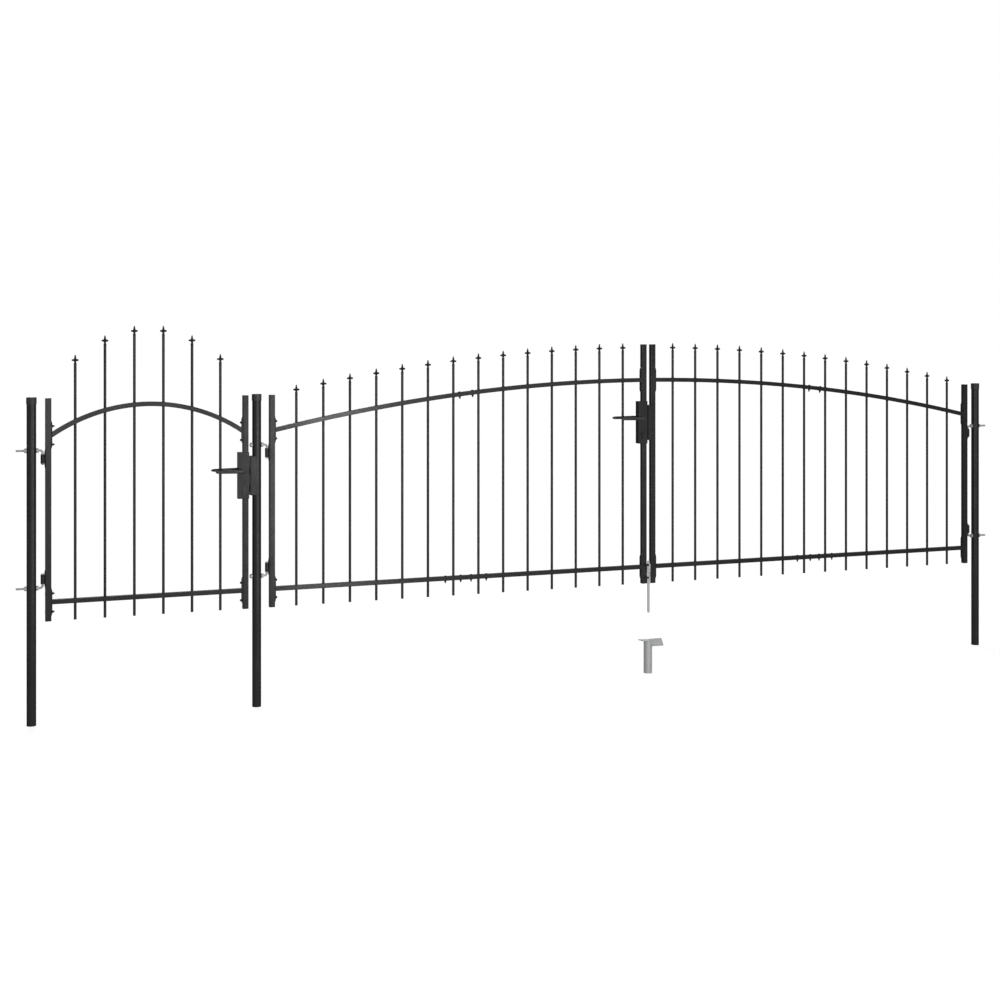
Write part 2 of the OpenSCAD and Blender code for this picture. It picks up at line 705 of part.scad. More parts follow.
module right_leaf_hinge_stile() { color(black) right_side() left_leaf_hinge_stile(); }
module right_leaf_meeting_stile() { color(black) stile(right_lock_x, meeting_top); }
module right_leaf_outer_panel() { color(black) right_side() outer_panel(); }
module right_leaf_inner_panel() { color(black) right_side() inner_panel(); }
module right_leaf_splices() { color(black) right_side() splices(); }
module right_leaf_spear_tips() { right_side() left_leaf_spear_tips(); }
module right_leaf_hinge_barrels() { right_side() left_leaf_hinge_barrels(); }
module right_leaf_stile_caps() { right_side() left_leaf_stile_caps(); }
module right_leaf_keep() { color(black) double_keep(); }

left_post();
middle_post();
right_post();
post_caps();
left_post_hinge_bolts();
middle_post_hinge_bolts();
right_post_hinge_bolts();
hinge_nuts();
single_gate_keep();
ground_stop();
single_gate_hinge_stile();
single_gate_lock_stile();
single_gate_panel();
single_gate_spear_tips();
single_gate_hinge_barrels();
single_gate_stile_caps();
single_gate_lock_case();
single_gate_lock_cylinder();
single_gate_lever();
left_leaf_hinge_stile();
left_leaf_lock_stile();
left_leaf_outer_panel();
left_leaf_inner_panel();
left_leaf_splices();
left_leaf_spear_tips();
left_leaf_hinge_barrels();
left_leaf_stile_caps();
left_leaf_lock_case();
left_leaf_lock_cylinder();
left_leaf_lever();
left_leaf_bolt_guide();
left_leaf_guide_lugs();
drop_bolt();
right_leaf_hinge_stile();
right_leaf_meeting_stile();
right_leaf_outer_panel();
right_leaf_inner_panel();
right_leaf_splices();
right_leaf_spear_tips();
right_leaf_hinge_barrels();
right_leaf_stile_caps();
right_leaf_keep();
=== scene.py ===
"""Looks for the driveway gate set.

Finishes, fasteners, hinge bolts, levers, welds, lock face plates, camera, light and floor. Metres, in the
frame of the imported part: X along the gates, Y away from the viewer, Z up from the post feet.
"""

import json
import math

import bmesh
import bpy
from mathutils import Matrix, Vector


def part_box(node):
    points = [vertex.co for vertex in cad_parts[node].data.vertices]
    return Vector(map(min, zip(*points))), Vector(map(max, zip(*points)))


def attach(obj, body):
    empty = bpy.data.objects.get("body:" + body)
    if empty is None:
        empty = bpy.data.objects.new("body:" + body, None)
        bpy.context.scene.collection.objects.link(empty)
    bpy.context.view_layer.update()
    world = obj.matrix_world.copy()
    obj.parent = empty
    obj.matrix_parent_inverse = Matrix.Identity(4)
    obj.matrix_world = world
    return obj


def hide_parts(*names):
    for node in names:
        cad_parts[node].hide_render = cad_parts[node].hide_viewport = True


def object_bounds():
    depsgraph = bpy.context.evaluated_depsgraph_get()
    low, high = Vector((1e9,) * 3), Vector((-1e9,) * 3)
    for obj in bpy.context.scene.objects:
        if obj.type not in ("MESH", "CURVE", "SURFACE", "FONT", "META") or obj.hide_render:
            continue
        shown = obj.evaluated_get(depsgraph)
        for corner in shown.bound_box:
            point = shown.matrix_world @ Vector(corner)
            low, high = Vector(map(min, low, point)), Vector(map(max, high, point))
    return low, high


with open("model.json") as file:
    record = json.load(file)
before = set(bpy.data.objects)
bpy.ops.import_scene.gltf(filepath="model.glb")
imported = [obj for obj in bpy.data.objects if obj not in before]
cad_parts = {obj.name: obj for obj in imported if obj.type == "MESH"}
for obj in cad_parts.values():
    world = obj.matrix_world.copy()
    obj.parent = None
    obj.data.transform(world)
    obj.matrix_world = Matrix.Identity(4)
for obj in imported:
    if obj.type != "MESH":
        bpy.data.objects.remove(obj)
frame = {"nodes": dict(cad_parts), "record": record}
cad_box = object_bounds()
nodes = frame["nodes"]

X_AXIS = Vector((1, 0, 0))
Y_AXIS = Vector((0, 1, 0))
Z_AXIS = Vector((0, 0, 1))
ROUND_SEGMENTS = 24

# Posts, in the order of the leaves that hang on them
POSTS = ("left_post", "middle_post", "right_post")

# Rails, stiles and bars
RAIL_HALF = 0.010
STILE_HALF = 0.0125
BAR_RADIUS = 0.006
BAR_PITCH = 0.125
BAR_INSET = 0.112
BOTTOM_RAIL_Z = 0.5215
SINGLE_ARCH = {"crown": 1.360, "radius": 0.730}
DOUBLE_ARCH = {"crown": 1.4365, "radius": 8.610}

# Rail brackets
BRACKET_THICK = 0.004
BRACKET_BOLT_OFFSET = 0.039

# Bolt shanks; an end is the length of thread past the nut, and a bolt with no end has a dome there
BOLT_RADIUS = 0.003
BOLT_PITCH = 0.001
BOLT_THREAD_DEPTH = 0.0004
BOLT_SEGMENTS = 14
LONG_END = 0.0065
NO_END = 0.0
PLAIN_BOLT = {"end": NO_END, "drop": 0.0}
STILE_BOLTS = {
    "single_gate_hinge_stile": {"end": 0.0045, "drop": 0.0030},
    "single_gate_lock_stile": {"end": 0.0020, "drop": 0.0045},
    "left_leaf_hinge_stile": {"end": 0.0020, "drop": 0.0},
}

# Bolt heads, washers and nuts
HEAD_RADIUS = 0.0065
HEAD_RISE = 0.0036
LOW_HEAD_RISE = 0.0008
END_DOME_RISE = 0.8 * HEAD_RISE
DOME_RIM_SHARE = 0.2
DOME_ANGLES = (0.4, 0.8, 1.2)
WASHER_RADIUS = 0.0062
WASHER_TOP_RADIUS = 0.9 * WASHER_RADIUS
WASHER_THICK = 0.0010
WASHER_EDGE = 0.8 * WASHER_THICK
NUT_FLATS = 0.010
NUT_CORNER = NUT_FLATS / math.sqrt(3)
NUT_TOP_RADIUS = 0.9 * NUT_CORNER
NUT_CHAMFER = 0.0006
NUT_THICK = 0.005
NUT_SIDES = 6

# Splice bolts either side of a leaf's middle
UPPER_SPLICE_BOLTS = (-0.032, 0.032)
LOWER_SPLICE_BOLTS = (-0.102, -0.026, 0.026, 0.102)

# Threads
RINGS_PER_PITCH = 4
CHAMFER_PER_DEPTH = 1.2

# Hinge bolts
PIN_RADIUS = 0.005
PIN_PITCH = 0.0015
PIN_THREAD_DEPTH = 0.0007
PIN_SEGMENTS = 20
PIN_CHAMFER = 0.001
PIN_REACH = 0.0625
BEND_RADIUS = 0.011
BEND_STEPS = 12
THREAD_TO_BEND = 0.002
HINGE_FROM_POST = 0.046
UPPER_BOLT_Z = 1.169
LOWER_BOLT_Z = 0.583

# Weld beads, each swollen by a slow ripple and a fine one
SLOW_RIPPLE = {"swell": 0.22, "step": 2.3, "seed_step": 1.7}
FINE_RIPPLE = {"swell": 0.12, "step": 5.1}
WELD_SHARP = 80
BAR_WELD = {"radius": 0.0013, "out_share": 0.3, "steps": 18, "sides": 6, "lean_seed": 3}
BARREL_NEAR = 0.0165
BARREL_LENGTH = 0.040
BARREL_WELD = {"radius": 0.0015, "out": 0.007, "front": 0.0046, "steps": 18, "sides": 8}
KEEP_WELD = {"radius": 0.0012, "out": 0.0003, "inset": 0.003, "steps": 70, "sides": 8}
STOP_RADIUS = 0.021
STOP_HEIGHT = 0.159
STOP_WELD = {"radius": 0.0017, "start_degrees": 100, "turn_degrees": 160, "steps": 32, "sides": 8, "seed": 1}

# Levers; a profile's points are (radius, height)
CASE_HALF_DEPTH = 0.017
LEVER_LENGTH = 0.132
LEVER_OUT = 0.054
LEVER_SHARP = 50
NECK_RADIUS = 0.0062
ROSE_RADIUS = 0.0125
ROSE_THICK = 0.0035
ROSE_GAP = 0.0004
ROSE_CROWN = ROSE_THICK + 0.0010
ROSE_SEGMENTS = 32
ROSE_PROFILE = (
    (0, ROSE_GAP),
    (ROSE_RADIUS, ROSE_GAP),
    (ROSE_RADIUS, 0.6 * ROSE_THICK),
    (0.93 * ROSE_RADIUS, ROSE_THICK),
    (0.75 * ROSE_RADIUS, ROSE_THICK + 0.0006),
    (NECK_RADIUS + 0.001, ROSE_CROWN),
    (0, ROSE_CROWN),
)
ELBOW_RADIUS = 0.013
ELBOW_STEPS = 8
ELBOW_THINNING = 0.0010
ELBOW_HEIGHTENING = 0.0025
GRIP_RISE = 0.003
GRIP_BOW = 0.001
GRIP_HALF_DEPTH = 0.0052
GRIP_HALF_HEIGHT = 0.0087
GRIP_TAPER = 0.0022
GRIP_ROUND_FROM = 0.88
GRIP_BLUNT_LEAST = 0.05
GRIP_SHARES = (0.15, 0.3, 0.45, 0.6, 0.75, GRIP_ROUND_FROM, 0.95, 0.985, 1.0)

# Lock face plates and their screws
CASE_OUT = 0.014
FOREND_HALF = 0.0105
FOREND_CORNER = 0.004
FOREND_CORNER_STEPS = 5
FOREND_THICK = 0.0006
FOREND_EDGE = 0.0003
FOREND_BELOW = 0.006
FOREND_ABOVE = 0.012
SCREW_INSET = 0.010
SCREW_PROFILE = (
    (0, -0.0002),
    (0.0035, -0.0002),
    (0.0035, 0.0002),
    (0.0028, 0.0006),
    (0.0015, 0.0006),
    (0.0013, 0.0001),
    (0, 0.0001),
)

# Colours, as linear red, green and blue
WHITE = (1, 1, 1, 1)
COAT_TONES = ((0.023, 0.023, 0.0236), (0.029, 0.029, 0.0297))
COAT_SCUFF = (0.060, 0.060, 0.061)
PLASTIC_TONES = ((0.040, 0.040, 0.0408), (0.050, 0.050, 0.0508))
ZINC_TONES = ((0.285, 0.289, 0.293), (0.365, 0.369, 0.373))
ZINC_STREAK = (0.245, 0.248, 0.251)
NICKEL_TONES = ((0.009, 0.009, 0.0089), (0.014, 0.014, 0.0138))

# Gloss of the two blacks, low and dark enough that the white surround makes no glare along edges
BLACK_SPECULAR = 0.02
BLACK_SPECULAR_TINT = (0.12, 0.12, 0.12, 1)

# Samples for edges that look rounded
BEVEL_SAMPLES = 6

# Sockets of the colour form of the Mix node, which share their names with its other forms
MIX_FIRST = 6
MIX_SECOND = 7
MIX_RESULT = 2

# Camera, as fitted to the photograph
CAMERA_PLACE = Vector((-0.565, -7.031, 1.687))
CAMERA_TURN = math.radians(21)
CAMERA_LENS = 57.3
CAMERA_SENSOR = 36.0
CAMERA_SHIFT_Y = -0.1712
CAMERA_REACH = 200

# Lamps and floor
STREAK_PLACE = Vector((2.0, -2.6, 0.9))
SOFTBOX_PLACE = Vector((2.0, -4.6, 0.9))
FLOOR_GAP = 0.0005
FLOOR_STEPS = 4

LEAVES = {
    "single_gate": {
        "stiles": ("single_gate_hinge_stile", "single_gate_lock_stile"),
        "arch": SINGLE_ARCH,
        "bars": 6,
    },
    "left_leaf": {
        "stiles": ("left_leaf_hinge_stile", "left_leaf_lock_stile"),
        "arch": DOUBLE_ARCH,
        "bars": 14,
    },
    "right_leaf": {
        "stiles": ("right_leaf_meeting_stile", "right_leaf_hinge_stile"),
        "arch": DOUBLE_ARCH,
        "bars": 14,
    },
}


def middle(node):
    """Centre of a CAD node's box."""
    lo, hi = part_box(node)
    return (lo + hi) / 2


SINGLE_MID = (middle("single_gate_hinge_stile").x + middle("single_gate_lock_stile").x) / 2
DOUBLE_MID = (middle("left_leaf_lock_stile").x + middle("right_leaf_meeting_stile").x) / 2
SINGLE_ARCH["mid"] = SINGLE_MID
DOUBLE_ARCH["mid"] = DOUBLE_MID


# Materials


class Finish:
    """A material of procedural nodes in object space around one principled shader."""

    def __init__(self, name):
        self.material = bpy.data.materials.new(name)
        self.material.use_nodes = True
        self.tree = self.material.node_tree
        self.shader = self.tree.nodes["Principled BSDF"]
        self.coords = self.tree.nodes.new("ShaderNodeTexCoord").outputs["Object"]

    def add(self, kind, links=None, values=None, **settings):
        """A node with its settings, socket values and incoming links."""
        made = self.tree.nodes.new(kind)
        for key, value in settings.items():
            setattr(made, key, value)
        for key, value in (values or {}).items():
            made.inputs[key].default_value = value
        for key, source in (links or {}).items():
            self.tree.links.new(source, made.inputs[key])
        return made

    def noise(self, scale, detail, stretch=(1, 1, 1)):
        """Noise in object space, from 0 to 1."""
        mapped = self.add("ShaderNodeMapping", {"Vector": self.coords}, {"Scale": stretch})
        made = self.add(
            "ShaderNodeTexNoise", {"Vector": mapped.outputs["Vector"]}, {"Scale": scale, "Detail": detail}
        )
        return made.outputs["Fac"]

    def spread(self, source, low, high, start=0.3, end=0.7):
        """The stretch of a value from start to end, mapped to a range."""
        made = self.add(
            "ShaderNodeMapRange",
            {"Value": source},
            {"From Min": start, "From Max": end, "To Min": low, "To Max": high},
        )
        return made.outputs["Result"]

    def mix(self, factor, first, second):
        """Two colours, or a socket and a colour, mixed by a factor."""
        made = self.add("ShaderNodeMix", {"Factor": factor}, data_type="RGBA")
        for key, colour in ((MIX_FIRST, first), (MIX_SECOND, second)):
            if isinstance(colour, tuple):
                made.inputs[key].default_value = (*colour, 1)
            else:
                self.tree.links.new(colour, made.inputs[key])
        return made.outputs[MIX_RESULT]

    def bump(self, height, strength, distance, rounding=0.0):
        """Relief on the shader's normal, over edges that look rounded where a rounding is given."""
        made = self.add("ShaderNodeBump", {"Height": height}, {"Strength": strength, "Distance": distance})
        if rounding:
            edge = self.add("ShaderNodeBevel", values={"Radius": rounding}, samples=BEVEL_SAMPLES)
            self.tree.links.new(edge.outputs["Normal"], made.inputs["Normal"])
        self.feed("Normal", made.outputs["Normal"])

    def feed(self, key, source):
        """A link or a constant on the shader's own socket."""
        if isinstance(source, bpy.types.NodeSocket):
            self.tree.links.new(source, self.shader.inputs[key])
        else:
            self.shader.inputs[key].default_value = source


def black_coat():
    """Black powder coat with orange peel, faint tone changes and light handling scuffs."""
    finish = Finish("black_coat")
    tone = finish.mix(finish.spread(finish.noise(scale=7, detail=3), low=0, high=1), *COAT_TONES)
    marks = finish.noise(scale=60, detail=4, stretch=(6, 6, 0.7))
    scuffs = finish.spread(marks, low=0, high=0.35, start=0.68, end=0.82)
    finish.feed("Base Color", finish.mix(scuffs, tone, COAT_SCUFF))
    finish.feed("Roughness", finish.spread(finish.noise(scale=35, detail=3), low=0.20, high=0.26))
    finish.feed("Metallic", 0.45)
    finish.feed("Specular IOR Level", BLACK_SPECULAR)
    finish.feed("Specular Tint", BLACK_SPECULAR_TINT)
    finish.bump(finish.noise(scale=650, detail=1), strength=0.18, distance=0.0004, rounding=0.003)
    return finish.material


def black_plastic():
    """Moulded black plastic with a fine grain."""
    finish = Finish("black_plastic")
    tone = finish.mix(finish.spread(finish.noise(scale=20, detail=2), low=0, high=1), *PLASTIC_TONES)
    finish.feed("Base Color", tone)
    finish.feed("Roughness", finish.spread(finish.noise(scale=180, detail=2), low=0.36, high=0.46))
    finish.feed("Metallic", 0.25)
    finish.feed("Specular IOR Level", BLACK_SPECULAR)
    finish.feed("Specular Tint", BLACK_SPECULAR_TINT)
    finish.bump(finish.noise(scale=2200, detail=1), strength=0.20, distance=0.0002, rounding=0.001)
    return finish.material


def zinc():
    """Galvanised steel with spangle, dull streaks and a slightly uneven skin."""
    finish = Finish("zinc")
    cells = finish.add("ShaderNodeTexVoronoi", {"Vector": finish.coords}, {"Scale": 170.0})
    spangle = finish.add("ShaderNodeSeparateColor", {"Color": cells.outputs["Color"]}).outputs["Red"]
    plain = finish.mix(spangle, *ZINC_TONES)
    marks = finish.noise(scale=45, detail=4, stretch=(3, 3, 0.6))
    streaks = finish.spread(marks, low=0, high=0.55, start=0.50, end=0.78)
    finish.feed("Base Color", finish.mix(streaks, plain, ZINC_STREAK))
    finish.feed("Metallic", 0.35)
    finish.feed("Roughness", finish.spread(spangle, low=0.52, high=0.70, start=0.0, end=1.0))
    finish.bump(finish.noise(scale=320, detail=3), strength=0.15, distance=0.0003, rounding=0.001)
    return finish.material


def nickel():
    """Dark nickel with a fine brushed grain."""
    finish = Finish("nickel")
    grain = finish.noise(scale=900, detail=2, stretch=(1, 1, 0.04))
    finish.feed("Base Color", finish.mix(grain, *NICKEL_TONES))
    finish.feed("Metallic", 0.8)
    finish.feed("Roughness", finish.spread(grain, low=0.34, high=0.46))
    finish.bump(grain, strength=0.08, distance=0.0001)
    return finish.material


MATERIALS = {
    "black_coat": black_coat(),
    "black_plastic": black_plastic(),
    "zinc": zinc(),
    "nickel": nickel(),
}


# Mesh building


def lathe(bm, profile, place, segments=ROUND_SEGMENTS):
    """Revolve (radius, height) points about local Z; a zero radius is a pole."""
    rings = []
    for radius, height in profile:
        count = segments if radius > 0 else 1
        turns = [2 * math.pi * i / segments for i in range(count)]
        points = [Vector((radius * math.cos(a), radius * math.sin(a), height)) for a in turns]
        rings.append([bm.verts.new(place @ p) for p in points])
    for low, high in zip(rings, rings[1:]):
        for i in range(segments):
            j = (i + 1) % segments
            corners = [low[i % len(low)], low[j % len(low)], high[j % len(high)], high[i % len(high)]]
            bm.faces.new(list(dict.fromkeys(corners)))


def skin(bm, rings):
    """Join rings of equal count into one closed form, with a face over each end."""
    for low, high in zip(rings, rings[1:]):
        for i in range(len(low)):
            j = (i + 1) % len(low)
            bm.faces.new((low[i], low[j], high[j], high[i]))
    bm.faces.new(list(reversed(rings[0])))
    bm.faces.new(rings[-1])


def threaded_rod(bm, place, radius, pitch, depth, length, segments):
    """A closed rod along local +Z whose surface follows one helical thread, with chamfered ends."""
    count = max(2, round(length / pitch * RINGS_PER_PITCH))
    chamfer = CHAMFER_PER_DEPTH * depth
    rings = []
    for k in range(count + 1):
        z = length * k / count
        near_end = max(0.0, 1 - min(z, length - z) / chamfer)
        ring = []
        for i in range(segments):
            turn = z / pitch - i / segments
            wave = abs(2 * (turn - math.floor(turn)) - 1)
            r = radius - depth * max(wave, near_end)
            a = 2 * math.pi * i / segments
            ring.append(bm.verts.new(place @ Vector((r * math.cos(a), r * math.sin(a), z))))
        rings.append(ring)
    skin(bm, rings)


def sweep(bm, path, normal, sections):
    """Loft closed sections along a flat path; a section's points are (in the plane, along its normal)."""
    rings = []
    last = len(path) - 1
    for i, (point, section) in enumerate(zip(path, sections)):
        tangent = (path[min(i + 1, last)] - path[max(i - 1, 0)]).normalized()
        across = tangent.cross(normal).normalized()
        rings.append([bm.verts.new(point + across * a + normal * b) for a, b in section])
    skin(bm, rings)


def ellipse(half_a, half_b):
    """Points of an ellipse."""
    turns = [2 * math.pi * i / ROUND_SEGMENTS for i in range(ROUND_SEGMENTS)]
    return [(half_a * math.cos(t), half_b * math.sin(t)) for t in turns]


def bead(bm, points, radius, closed, seed, segments):
    """A lumpy weld bead along a line of points."""
    rings = []
    count = len(points)
    for i, point in enumerate(points):
        ahead = points[(i + 1) % count] if closed else points[min(i + 1, count - 1)]
        behind = points[i - 1] if closed else points[max(i - 1, 0)]
        tangent = (ahead - behind).normalized()
        side = tangent.orthogonal().normalized()
        other = tangent.cross(side)
        slow = SLOW_RIPPLE["swell"] * math.sin(SLOW_RIPPLE["step"] * i + SLOW_RIPPLE["seed_step"] * seed)
        fine = FINE_RIPPLE["swell"] * math.sin(FINE_RIPPLE["step"] * i + seed)
        r = radius * (1 + slow + fine)
        turns = [2 * math.pi * k / segments for k in range(segments)]
        rings.append([bm.verts.new(point + r * (side * math.cos(t) + other * math.sin(t))) for t in turns])
    pairs = list(zip(rings, rings[1:]))
    if closed:
        pairs.append((rings[-1], rings[0]))
    for low, high in pairs:
        shift = min(range(segments), key=lambda s: (low[0].co - high[s].co).length)
        for k in range(segments):
            near = high[(k + shift) % segments]
            far = high[(k + 1 + shift) % segments]
            bm.faces.new((low[k], low[(k + 1) % segments], far, near))
    if not closed:
        bm.faces.new(list(reversed(rings[0])))
        bm.faces.new(rings[-1])


def pointing(origin, direction):
    """The placement that puts local Z along a direction at a point."""
    turn = direction.to_track_quat("Z", "Y").to_matrix().to_4x4()
    return Matrix.Translation(origin) @ turn


def make_piece(name, bm, slot, body, replaced=(), sharp=35):
    """Turn a bmesh into a finished piece that rides on a body; edges past the sharp angle stay sharp."""
    bmesh.ops.recalc_face_normals(bm, faces=bm.faces)
    mesh = bpy.data.meshes.new(name)
    bm.to_mesh(mesh)
    bm.free()
    mesh.shade_smooth()
    mesh.set_sharp_from_angle(angle=math.radians(sharp))
    mesh.materials.append(MATERIALS[slot])
    piece = bpy.data.objects.new(name, mesh)
    bpy.context.scene.collection.objects.link(piece)
    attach(piece, body)
    if replaced:
        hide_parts(*replaced)


# Geometry of the leaves


def rail_z(arch, x, offset=0.0):
    """Height of an arched rail's axis, or of a line at a radial offset from it."""
    r = arch["radius"] + offset
    return arch["crown"] - arch["radius"] + math.sqrt(r * r - (x - arch["mid"]) ** 2)


def stile_pair(leaf):
    """X of a leaf's left and right stile axes."""
    return tuple(middle(n).x for n in LEAVES[leaf]["stiles"])


def bar_places(leaf):
    """X of a leaf's bars."""
    left, _ = stile_pair(leaf)
    return [left + BAR_INSET + i * BAR_PITCH for i in range(LEAVES[leaf]["bars"])]


def hinge_side(post_name):
    """The way along X from a post to the leaf that hangs on it."""
    return -1 if post_name == "right_post" else 1


# Fasteners


def dome(bm, place, rise):
    """A domed bolt head on local +Z."""
    rim = DOME_RIM_SHARE * rise
    profile = [(0, 0), (HEAD_RADIUS, 0), (HEAD_RADIUS, rim)]
    profile += [(HEAD_RADIUS * math.cos(a), rim + (rise - rim) * math.sin(a)) for a in DOME_ANGLES]
    lathe(bm, [*profile, (0, rise)], place)


def bolt_through(bm, head, way, grip, rise, end):
    """A bolt from its head along way; past the grip it has washer, nut and threaded end, or a dome."""
    dome(bm, pointing(head, -way), rise)
    out = pointing(head + way * grip, way)
    if end == NO_END:
        dome(bm, out, END_DOME_RISE)
        return
    washer = [(0, 0), (WASHER_RADIUS, 0), (WASHER_RADIUS, WASHER_EDGE)]
    washer += [(WASHER_TOP_RADIUS, WASHER_THICK), (0, WASHER_THICK)]
    lathe(bm, washer, out)
    low = WASHER_THICK
    high = WASHER_THICK + NUT_THICK
    nut = [(0, low), (NUT_TOP_RADIUS, low), (NUT_CORNER, low + NUT_CHAMFER)]
    nut += [(NUT_CORNER, high - NUT_CHAMFER), (NUT_TOP_RADIUS, high), (0, high)]
    lathe(bm, nut, out, NUT_SIDES)
    threaded_rod(bm, out, BOLT_RADIUS, BOLT_PITCH, BOLT_THREAD_DEPTH, high + end, BOLT_SEGMENTS)


def bracket_bolts(leaf):
    """The bolts that hold a leaf's rail brackets to its stiles."""
    bm = bmesh.new()
    arch = LEAVES[leaf]["arch"]
    grip = 2 * STILE_HALF + BRACKET_THICK
    for node, inward in zip(LEAVES[leaf]["stiles"], (1, -1)):
        stile = middle(node).x
        bolt = STILE_BOLTS.get(node, PLAIN_BOLT)
        face = stile + inward * (STILE_HALF + BRACKET_THICK)
        for rail in (BOTTOM_RAIL_Z, rail_z(arch, face)):
            for offset in (-BRACKET_BOLT_OFFSET, BRACKET_BOLT_OFFSET):
                head = Vector((stile - inward * STILE_HALF, 0, rail + offset - bolt["drop"]))
                bolt_through(bm, head, X_AXIS * inward, grip, LOW_HEAD_RISE, bolt["end"])
    make_piece(f"{leaf}_bracket_bolts", bm, "black_coat", leaf)


def splice_bolts(leaf):
    """The bolts through the rails where a leaf's two half panels join."""
    bm = bmesh.new()
    arch = LEAVES[leaf]["arch"]
    centre = sum(stile_pair(leaf)) / 2
    for offset in LOWER_SPLICE_BOLTS:
        head = Vector((centre + offset, 0, BOTTOM_RAIL_Z + RAIL_HALF))
        bolt_through(bm, head, -Z_AXIS, 2 * RAIL_HALF, HEAD_RISE, LONG_END)
    for offset in UPPER_SPLICE_BOLTS:
        x = centre + offset
        lean = Vector((x - arch["mid"], 0, rail_z(arch, x) - arch["crown"] + arch["radius"])).normalized()
        head = Vector((x, 0, rail_z(arch, x))) + lean * RAIL_HALF
        bolt_through(bm, head, -lean, 2 * RAIL_HALF, HEAD_RISE, LONG_END)
    make_piece(f"{leaf}_splice_bolts", bm, "black_coat", leaf)


# Hinge bolts


def hinge_bolt(bm, post, side, z, way, tail):
    """A galvanised bolt through a post, bent into a hinge pin; way is 1 for a pin that points up."""
    run = HINGE_FROM_POST - BEND_RADIUS
    thread_end = run - THREAD_TO_BEND
    tail_end = pointing(Vector((post - side * tail, 0, z)), X_AXIS * side)
    threaded_rod(bm, tail_end, PIN_RADIUS, PIN_PITCH, PIN_THREAD_DEPTH, tail + thread_end, PIN_SEGMENTS)
    path = [Vector((post + side * thread_end, 0, z))]
    for i in range(BEND_STEPS + 1):
        a = math.pi / 2 * i / BEND_STEPS
        x = post + side * (run + BEND_RADIUS * math.sin(a))
        path.append(Vector((x, 0, z + way * BEND_RADIUS * (1 - math.cos(a)))))
    pin = post + side * HINGE_FROM_POST
    tip = z + way * PIN_REACH
    path.append(Vector((pin, 0, tip - way * PIN_CHAMFER)))
    path.append(Vector((pin, 0, tip)))
    shank = ellipse(PIN_RADIUS, PIN_RADIUS)
    point = ellipse(PIN_RADIUS - PIN_CHAMFER, PIN_RADIUS - PIN_CHAMFER)
    sweep(bm, path, Y_AXIS, [shank] * (len(path) - 1) + [point])


def post_hinge_bolts(post_name):
    """Both hinge bolts of one post, in place of their plain solids."""
    node = f"{post_name}_hinge_bolts"
    lo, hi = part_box(node)
    post = middle(post_name).x
    side = hinge_side(post_name)
    tail = hi.x - post if side < 0 else post - lo.x
    bm = bmesh.new()
    hinge_bolt(bm, post, side, UPPER_BOLT_Z, -1, tail)
    hinge_bolt(bm, post, side, LOWER_BOLT_Z, 1, tail)
    make_piece(f"{post_name}_bent_bolts", bm, "zinc", "posts", [node])


# Levers


def lever_handle(bm, spindle_x, spindle_z, side):
    """One lever with its rose; side is -1 for the front and 1 for the back."""
    at_case = Vector((spindle_x, side * CASE_HALF_DEPTH, spindle_z))
    lathe(bm, ROSE_PROFILE, pointing(at_case, Y_AXIS * side), ROSE_SEGMENTS)
    path = [at_case, Vector((spindle_x, side * (LEVER_OUT - ELBOW_RADIUS), spindle_z))]
    sections = [ellipse(NECK_RADIUS, NECK_RADIUS)] * len(path)
    for i in range(1, ELBOW_STEPS + 1):
        share = i / ELBOW_STEPS
        a = math.pi / 2 * i / ELBOW_STEPS
        x = spindle_x - ELBOW_RADIUS * (1 - math.cos(a))
        y = side * (LEVER_OUT - ELBOW_RADIUS + ELBOW_RADIUS * math.sin(a))
        path.append(Vector((x, y, spindle_z + GRIP_RISE * share * share * (3 - 2 * share))))
        half_height = NECK_RADIUS + ELBOW_HEIGHTENING * share
        sections.append(ellipse(NECK_RADIUS - ELBOW_THINNING * share, half_height))
    run = LEVER_LENGTH - ELBOW_RADIUS
    for share in GRIP_SHARES:
        x = spindle_x - ELBOW_RADIUS - run * share
        bow = GRIP_BOW * math.sin(math.pi * share)
        path.append(Vector((x, side * (LEVER_OUT + bow), spindle_z + GRIP_RISE)))
        rounding = max(0.0, (share - GRIP_ROUND_FROM) / (1 - GRIP_ROUND_FROM))
        blunt = math.sqrt(max(GRIP_BLUNT_LEAST, 1 - rounding**2))
        half_height = GRIP_HALF_HEIGHT - GRIP_TAPER * share
        sections.append(ellipse(GRIP_HALF_DEPTH * blunt, half_height * blunt))
    sweep(bm, path, Z_AXIS, sections)


def lever_grips(leaf, body):
    """Front and back lever handles on one spindle, in place of the plain solid."""
    node = f"{leaf}_lever"
    bm = bmesh.new()
    for side in (-1, 1):
        lever_handle(bm, middle(f"{leaf}_lock_cylinder").x, middle(node).z, side)
    make_piece(f"{leaf}_lever_handles", bm, "black_plastic", body, [node], LEVER_SHARP)


# Welds


def bar_welds(leaf):
    """Beads where a leaf's bars pass through its rails."""
    bm = bmesh.new()
    arch = LEAVES[leaf]["arch"]
    radius = BAR_WELD["radius"]
    steps = BAR_WELD["steps"]
    reach = BAR_RADIUS + BAR_WELD["out_share"] * radius
    for seed, x in enumerate(bar_places(leaf)):
        from_mid = x - arch["mid"]
        for face in (-RAIL_HALF, RAIL_HALF):
            slope = -from_mid / math.sqrt((arch["radius"] + face) ** 2 - from_mid**2)
            for base, lean in ((rail_z(arch, x, face), slope), (BOTTOM_RAIL_Z + face, 0.0)):
                ring = []
                for i in range(steps):
                    a = 2 * math.pi * i / steps
                    dx = reach * math.cos(a)
                    ring.append(Vector((x + dx, reach * math.sin(a), base + lean * dx)))
                bead(bm, ring, radius, True, seed + BAR_WELD["lean_seed"] * lean, BAR_WELD["sides"])
    make_piece(f"{leaf}_welds", bm, "black_coat", leaf, sharp=WELD_SHARP)


